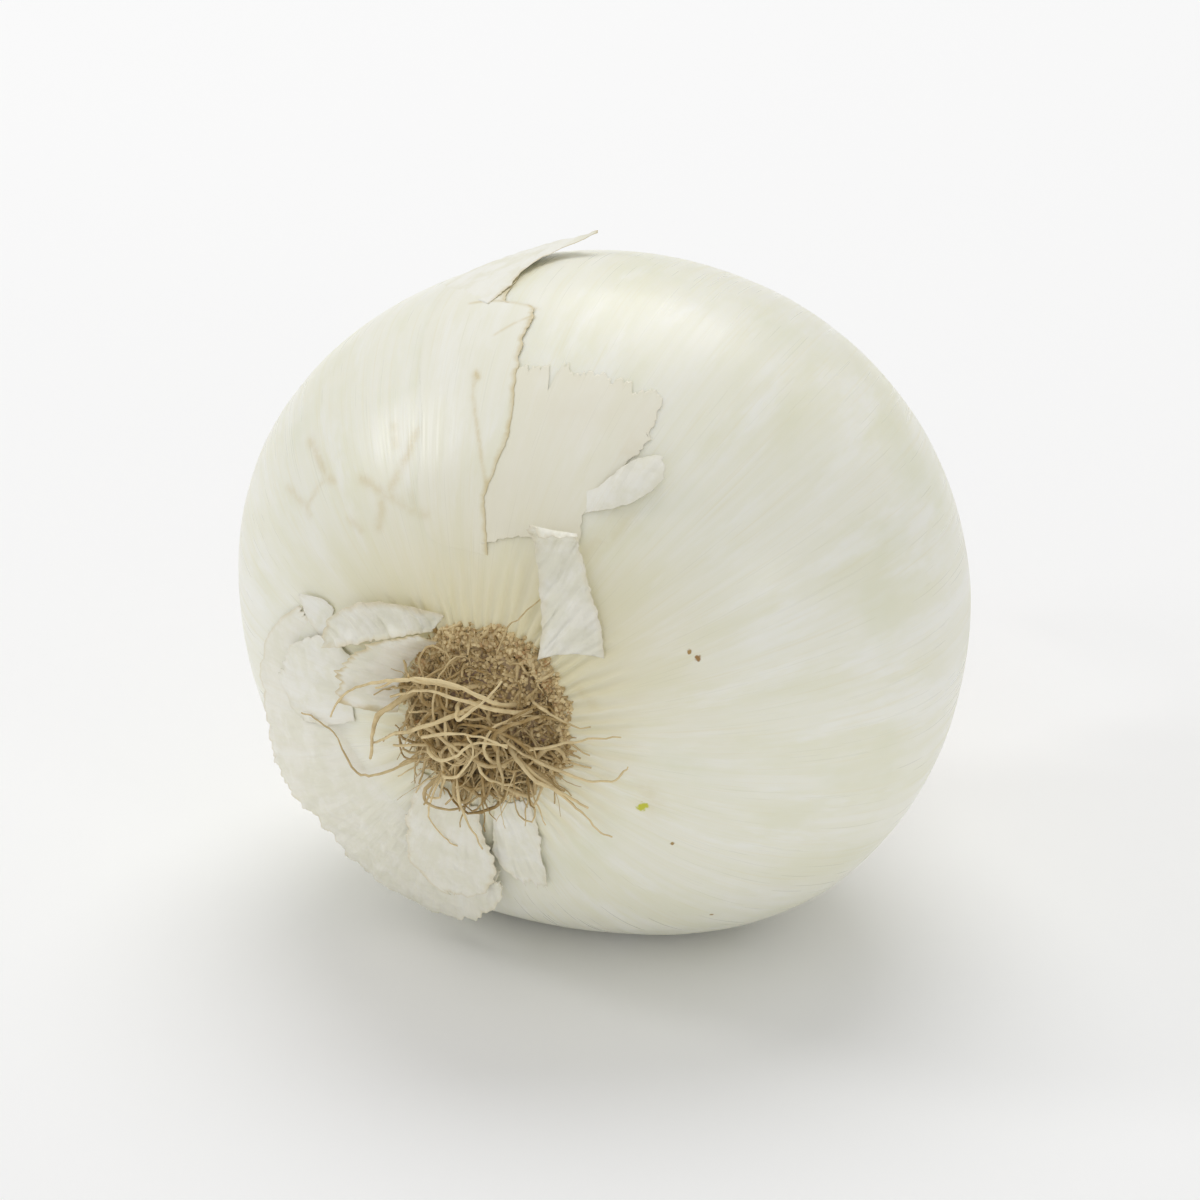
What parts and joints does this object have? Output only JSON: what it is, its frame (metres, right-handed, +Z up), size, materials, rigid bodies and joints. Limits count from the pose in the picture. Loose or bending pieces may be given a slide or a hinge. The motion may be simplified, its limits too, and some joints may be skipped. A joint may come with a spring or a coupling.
{
  "type": "white onion",
  "caption": "White onion lying on its side, with a dry root tuft, torn papery skin flaps and knotted neck leaves.",
  "frame": {"origin": "centre of the small flat spot under the bulb's widest ring, on the surface that the onion lies on", "axes": "+Z up; the bulb's axis lies along Y at its own height, with the root end looking to -Y and the knotted neck leaves to +Y; +X is to the right as seen from the root end"},
  "size_m": [0.0841, 0.1244, 0.0814],
  "materials": {
    "white_scale": "pearly, slightly translucent white scale with a satin gloss",
    "paper_skin": "thin dry white skin, matt to satin",
    "dry_root": "dry brown and straw-coloured fibre, matt",
    "dry_leaf": "dry fibrous straw-coloured leaf, matt"
  },
  "bodies": {
    "root": {"bulb": "white_scale", "root_tuft": "dry_root", "neck_leaves": "dry_leaf", "skin_flap_upright": "paper_skin", "skin_flap_folded": "paper_skin", "skin_collar": "paper_skin", "skin_ragged_edge": "paper_skin", "skin_sliver_top": "paper_skin", "skin_tongue": "paper_skin", "skin_strip_neck_right": "paper_skin", "skin_strip_neck_left": "paper_skin"}
  },
  "joints": []
}
